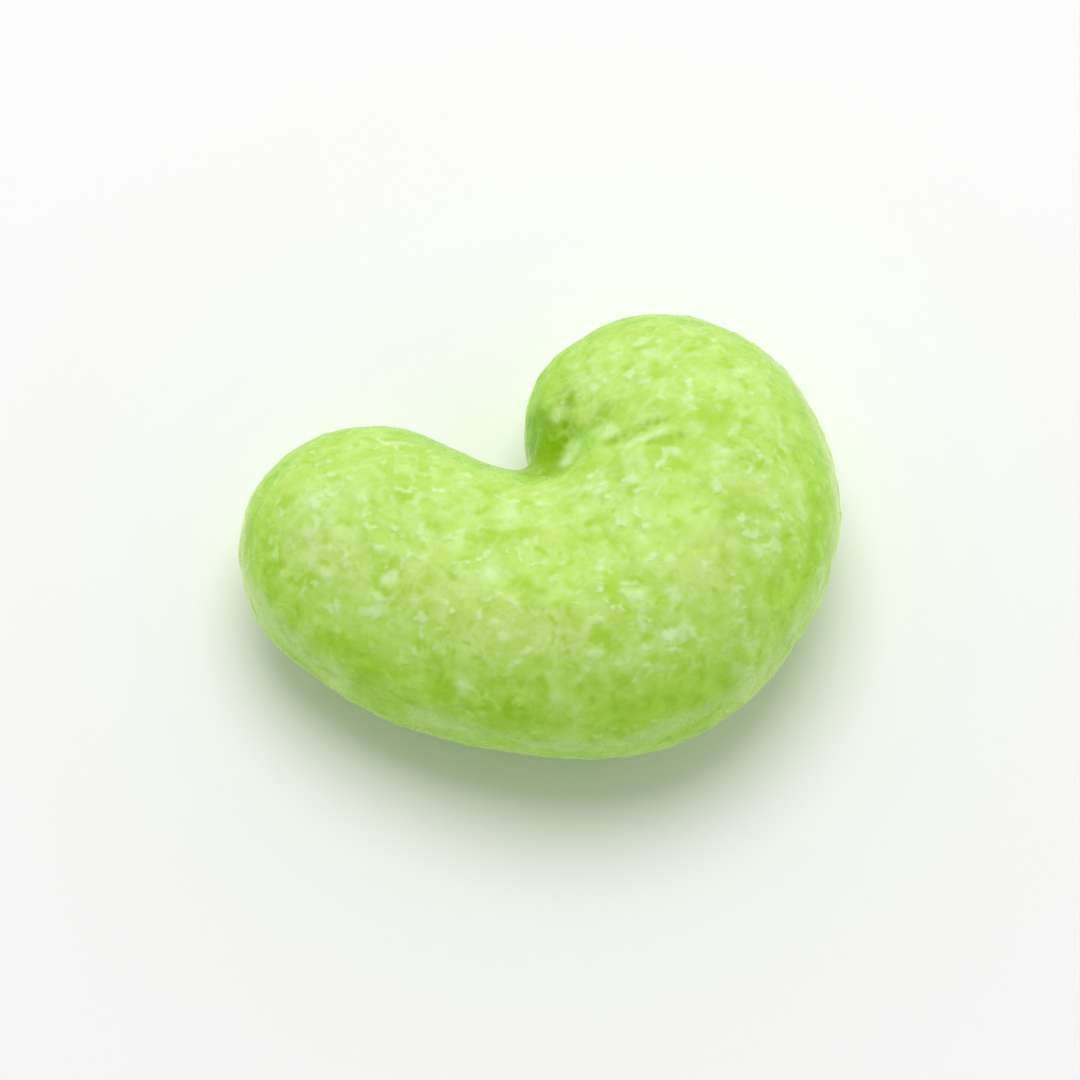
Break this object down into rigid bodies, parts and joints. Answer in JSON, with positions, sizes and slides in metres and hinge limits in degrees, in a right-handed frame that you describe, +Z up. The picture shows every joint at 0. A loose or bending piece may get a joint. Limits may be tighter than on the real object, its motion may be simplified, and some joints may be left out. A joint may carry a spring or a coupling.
{
  "type": "roasted cashew nut",
  "caption": "Coated roasted cashew nut: a bent kidney-shaped kernel with a hooked end, a crease at its notch and a faint seam, lying on small flat spots.",
  "frame": {"origin": "under the middle of the nut's box, on the plane the nut lies on", "axes": "+Z up from that plane, +X along the nut's length towards its hooked end, +Y towards its hollow side"},
  "size_m": [0.03, 0.0236, 0.0128],
  "materials": {
    "coat": "matte baked flour coating, pale green, mottled with lighter flecks and darker pits"
  },
  "bodies": {
    "root": {"cashew_nut": "coat"}
  },
  "joints": []
}
